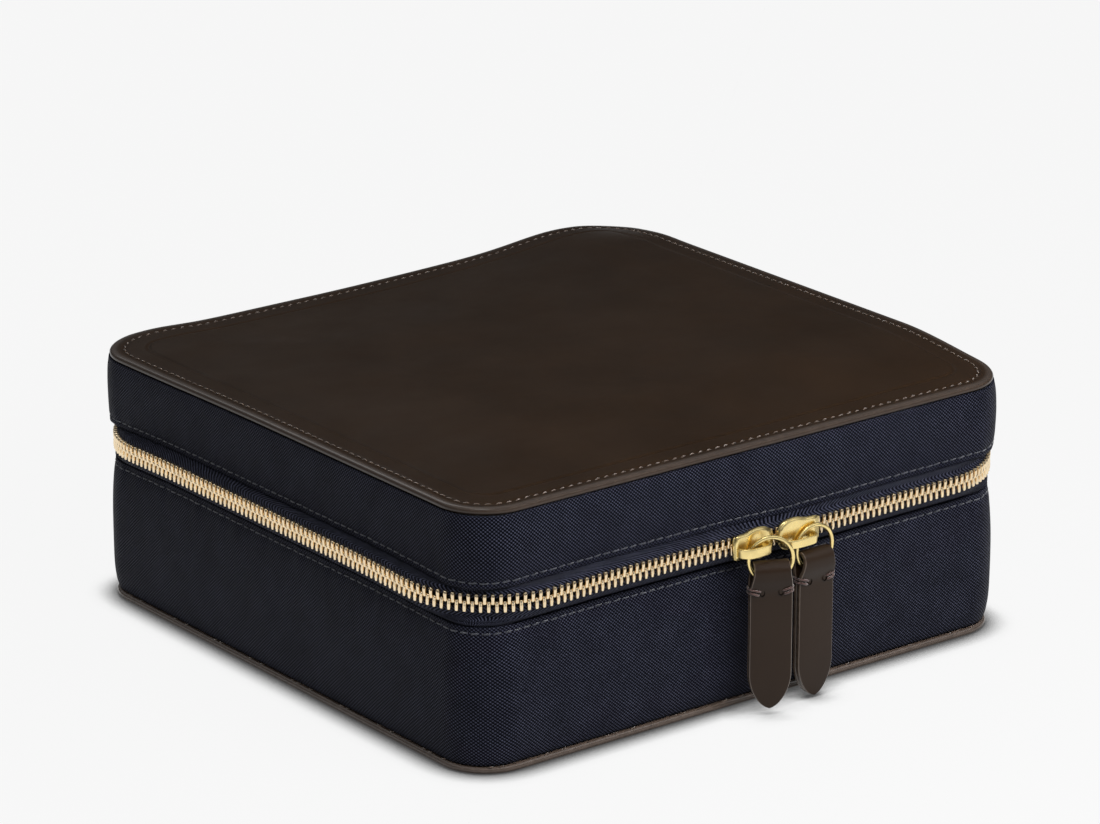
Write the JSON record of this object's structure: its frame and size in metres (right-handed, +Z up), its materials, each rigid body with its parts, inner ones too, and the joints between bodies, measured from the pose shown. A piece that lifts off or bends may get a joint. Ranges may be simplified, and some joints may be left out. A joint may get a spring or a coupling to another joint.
{
  "type": "zip-round jewellery case",
  "caption": "Square zip-round jewellery case: navy nylon walls, brown leather lid panel and base, brass zip with leather-pulled sliders, and a lift-out tray of ring rolls.",
  "frame": {"origin": "middle of the case's footprint, on the surface that it stands on", "axes": "+Z up through the lid, -Y out of the front where the sliders meet, +X to the right seen from the front"},
  "size_m": [0.2308, 0.2343, 0.0908],
  "materials": {
    "brown_leather": "dark brown smooth full-grain leather, satin, with burnished lighter edges",
    "navy_twill": "dark navy nylon twill with a fine diagonal rib",
    "zip_tape": "dark navy woven herringbone zip tape",
    "zip_brass": "pale polished brass",
    "slider_brass": "polished yellow brass",
    "stiffening_board": "grey-brown pressed fibre stiffening board, matt",
    "suede_lining": "dark navy microsuede lining, matt"
  },
  "bodies": {
    "case": {"base_leather_panel": "brown_leather", "base_board": "stiffening_board", "body_fabric_band": "navy_twill", "body_wall_board": "stiffening_board", "body_lining": "suede_lining", "floor_pad": "suede_lining", "well_divider_long": "suede_lining", "well_divider_left": "suede_lining", "well_divider_right": "suede_lining", "lower_zip_tape": "zip_tape", "lower_zip_teeth": "zip_brass", "lower_zip_stop_left": "zip_brass", "lower_zip_stop_right": "zip_brass", "hinge_gusset": "navy_twill"},
    "lid": {"lid_leather_panel": "brown_leather", "lid_board": "stiffening_board", "lid_fabric_band": "navy_twill", "lid_wall_board": "stiffening_board", "lid_lining": "suede_lining", "lid_pad": "suede_lining", "lid_pocket": "suede_lining", "lid_pocket_elastic": "suede_lining", "upper_zip_tape": "zip_tape", "upper_zip_teeth": "zip_brass", "upper_zip_stop_left": "zip_brass", "upper_zip_stop_right": "zip_brass"},
    "left_slider": {"left_slider_body": "slider_brass", "left_slider_bridge": "slider_brass"},
    "right_slider": {"right_slider_body": "slider_brass", "right_slider_bridge": "slider_brass"},
    "left_ring": {"left_ring": "slider_brass"},
    "right_ring": {"right_ring": "slider_brass"},
    "left_puller": {"left_puller": "brown_leather"},
    "right_puller": {"right_puller": "brown_leather"},
    "tray": {"tray_base": "suede_lining", "tray_wall": "suede_lining", "tray_divider_long": "suede_lining", "tray_divider_left": "suede_lining", "tray_divider_right": "suede_lining", "tray_tab_left": "brown_leather", "tray_tab_right": "brown_leather", "ring_roll_1": "suede_lining", "ring_roll_2": "suede_lining", "ring_roll_3": "suede_lining", "ring_roll_4": "suede_lining", "ring_roll_5": "suede_lining", "ring_roll_6": "suede_lining"}
  },
  "joints": [
    {"name": "lid_hinge", "type": "hinge", "parent": "case", "child": "lid", "pos_m": [0, 0.1109, 0.0568], "axis": [-1, 0, 0], "range_deg": [0, 105], "deforming": ["hinge_gusset"]},
    {"name": "left_slider_run", "type": "slide", "parent": "case", "child": "left_slider", "axis": [1, 0, 0], "range_m": [-0.066, 0]},
    {"name": "right_slider_run", "type": "slide", "parent": "case", "child": "right_slider", "axis": [1, 0, 0], "range_m": [0, 0.06]},
    {"name": "left_ring_turn", "type": "hinge", "parent": "left_slider", "child": "left_ring", "pos_m": [-0.0088, -0.1148, 0.0523], "axis": [0, 0, -1], "range_deg": [-7, 30]},
    {"name": "right_ring_turn", "type": "hinge", "parent": "right_slider", "child": "right_ring", "pos_m": [0.0109, -0.1148, 0.051], "axis": [0, 0, -1], "range_deg": [0, 45]},
    {"name": "left_puller_tilt", "type": "hinge", "parent": "left_ring", "child": "left_puller", "pos_m": [-0.00228, -0.11784, 0.0458], "axis": [-0.9063, 0.4226, 0], "range_deg": [-6, 22]},
    {"name": "right_puller_tilt", "type": "hinge", "parent": "right_ring", "child": "right_puller", "pos_m": [0.0181, -0.11493, 0.0445], "axis": [-0.9998, 0.0175, 0], "range_deg": [-6, 22]},
    {"name": "tray_lift", "type": "slide", "parent": "case", "child": "tray", "axis": [0, 0, 1], "range_m": [0, 0.02]}
  ]
}
